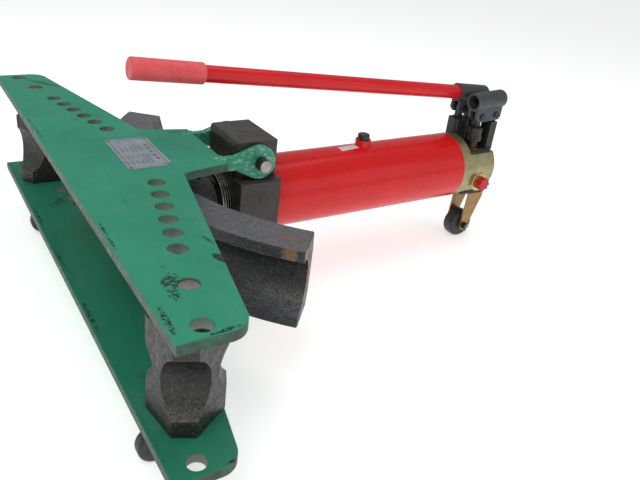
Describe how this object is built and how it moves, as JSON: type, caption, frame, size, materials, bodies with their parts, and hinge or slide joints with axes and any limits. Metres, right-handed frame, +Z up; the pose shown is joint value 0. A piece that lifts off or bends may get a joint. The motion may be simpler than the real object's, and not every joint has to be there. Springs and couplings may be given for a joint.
{
  "type": "hydraulic pipe bender",
  "caption": "Floor-standing horizontal hydraulic conduit bender with open wing plates, cast former, pivoting rollers, red tank tube, two hand pumps and wheels.",
  "frame": {"origin": "on the floor, under the middle of the machine's length, on the ram's centre plane", "axes": "+Z up; -X is the way the ram pushes, towards the front edge of the wing plates; +Y is to the side of the large pump and the stored handle"},
  "size_m": [0.915, 0.958, 0.425],
  "materials": {
    "green_paint": "gloss, chipped at the edges",
    "dark_green_paint": "semi-gloss, worn",
    "data_foil": "matt foil with blank ruled rows",
    "rivet_metal": "satin",
    "black_block_paint": "semi-gloss",
    "black_bolt_oxide": "black oxide",
    "pin_steel": "turned, oiled",
    "honed_steel": "honed",
    "seal_rubber": "satin",
    "red_paint": "gloss enamel",
    "ram_chrome": "ground",
    "spring_steel": "oiled",
    "black_casting": "rough cast, painted black",
    "former_casting": "rough cast, chipped black paint",
    "zinc_yellow": "yellow zinc",
    "dark_caster_steel": "dark, oily",
    "ball_steel": "polished",
    "copper": "annealed",
    "pump_black": "black oxide",
    "pump_steel": "machined, oily",
    "grip_rubber": "matt",
    "release_steel": "turned",
    "knob_red": "moulded",
    "cap_black": "moulded",
    "axle_steel": "zinc plated",
    "wheel_rubber": "worn"
  },
  "bodies": {
    "frame": {"lower_wing_plate": "dark_green_paint", "front_block": "black_block_paint", "block_bolts": "black_bolt_oxide", "hinge_pin": "pin_steel", "working_cylinder": "honed_steel", "cylinder_collar": "honed_steel", "rod_gland": "honed_steel", "rod_seals": "seal_rubber", "tank_tube": "red_paint", "pump_head": "zinc_yellow", "head_seal": "seal_rubber", "check_valve_balls": "ball_steel", "pump_barrel_near": "pump_steel", "pump_barrel_far": "pump_black", "pump_washers": "copper", "fulcrum_posts": "pump_black", "release_collar": "zinc_yellow", "filler_boss": "red_paint", "front_brackets": "dark_green_paint", "front_axles": "axle_steel", "bracket_bolts": "black_bolt_oxide", "caster_mount": "dark_caster_steel", "caster_bolts": "axle_steel", "caster_kingpin": "axle_steel", "caster_bearing": "dark_caster_steel"},
    "upper_wing": {"upper_wing_plate": "green_paint", "hinge_lugs": "green_paint", "data_plate": "data_foil", "data_plate_rivets": "rivet_metal"},
    "ram": {"ram_rod": "ram_chrome", "former_pin": "ram_chrome", "ram_piston": "honed_steel", "piston_seal": "seal_rubber", "return_spring": "spring_steel"},
    "former": {"bending_former": "former_casting"},
    "near_roller": {"roller_near": "black_casting", "roller_trunnions_near": "pin_steel"},
    "far_roller": {"roller_far": "black_casting", "roller_trunnions_far": "pin_steel"},
    "near_lever": {"lever_near": "pump_black", "lever_pins_near": "pump_steel"},
    "far_lever": {"lever_far": "pump_black", "lever_pins_far": "pump_steel"},
    "handle": {"handle_tube": "red_paint", "handle_grip": "grip_rubber"},
    "near_plunger": {"pump_plunger_near": "pump_steel"},
    "far_plunger": {"pump_plunger_far": "pump_steel"},
    "release_valve": {"release_spindle": "release_steel", "release_knob": "knob_red"},
    "filler": {"filler_cap": "cap_black", "filler_seal": "seal_rubber"},
    "caster": {"caster_fork": "zinc_yellow", "caster_axle": "axle_steel", "caster_nuts": "axle_steel", "caster_split_pin": "axle_steel"},
    "rear_wheel": {"caster_wheel": "wheel_rubber", "caster_wheel_bush": "axle_steel"},
    "near_wheel": {"front_wheel_near": "wheel_rubber"},
    "far_wheel": {"front_wheel_far": "wheel_rubber"}
  },
  "joints": [
    {"name": "wing_hinge", "type": "hinge", "parent": "frame", "child": "upper_wing", "pos_m": [-0.1445, 0, 0.267], "axis": [0, 1, 0], "range_deg": [0, 25]},
    {"name": "ram_slide", "type": "slide", "parent": "frame", "child": "ram", "axis": [-1, 0, 0], "range_m": [0, 0.3], "stiffness_N_per_m": 300, "springref_m": -0.2, "deforming": ["return_spring"]},
    {"name": "former_swivel", "type": "hinge", "parent": "ram", "child": "former", "pos_m": [-0.2255, 0, 0.18], "axis": [0, 0, 1], "range_deg": [-6.5, 0.5]},
    {"name": "near_roller_turn", "type": "hinge", "parent": "frame", "child": "near_roller", "pos_m": [-0.40366, -0.383, 0.18], "axis": [0, 0, 1], "range_deg": [-35, 35]},
    {"name": "far_roller_turn", "type": "hinge", "parent": "frame", "child": "far_roller", "pos_m": [-0.40366, 0.383, 0.18], "axis": [0, 0, 1], "range_deg": [-35, 35]},
    {"name": "near_lever_pivot", "type": "hinge", "parent": "frame", "child": "near_lever", "pos_m": [0.4235, -0.022, 0.293], "axis": [0, 1, 0], "range_deg": [-5, 30]},
    {"name": "far_lever_pivot", "type": "hinge", "parent": "frame", "child": "far_lever", "pos_m": [0.4125, 0.022, 0.293], "axis": [0, 1, 0], "range_deg": [-5.5, 25]},
    {"name": "handle_pull", "type": "slide", "parent": "far_lever", "child": "handle", "axis": [-0.9936, 0, 0.1132], "range_m": [0, 0.06]},
    {"name": "near_plunger_stroke", "type": "slide", "parent": "frame", "child": "near_plunger", "axis": [0, 0, 1], "range_m": [-0.0034, 0.0197]},
    {"name": "far_plunger_stroke", "type": "slide", "parent": "frame", "child": "far_plunger", "axis": [0, 0, 1], "range_m": [-0.0036, 0.0161]},
    {"name": "release_turn", "type": "hinge", "parent": "frame", "child": "release_valve", "pos_m": [0.3855, -0.06, 0.16], "axis": [0, -1, 0], "range_deg": [0, 360]},
    {"name": "filler_cap_turn", "type": "hinge", "parent": "frame", "child": "filler", "pos_m": [0.1145, 0, 0.26], "axis": [0, 0, 1], "range_deg": [0, 360]},
    {"name": "caster_swivel", "type": "hinge", "parent": "frame", "child": "caster", "pos_m": [0.4365, 0, 0.105], "axis": [0, 0, 1], "continuous": true},
    {"name": "rear_wheel_spin", "type": "hinge", "parent": "caster", "child": "rear_wheel", "pos_m": [0.4215, 0, 0.031], "axis": [0, 1, 0], "continuous": true},
    {"name": "near_wheel_spin", "type": "hinge", "parent": "frame", "child": "near_wheel", "pos_m": [-0.4295, -0.348, 0.025], "axis": [0, 1, 0], "continuous": true},
    {"name": "far_wheel_spin", "type": "hinge", "parent": "frame", "child": "far_wheel", "pos_m": [-0.4215, 0.32, 0.025], "axis": [0, 1, 0], "continuous": true}
  ],
  "couplings": [
    {"joint": "near_plunger_stroke", "follows": "near_lever_pivot", "m_per_rad": 0.0369},
    {"joint": "far_plunger_stroke", "follows": "far_lever_pivot", "m_per_rad": 0.03605}
  ]
}
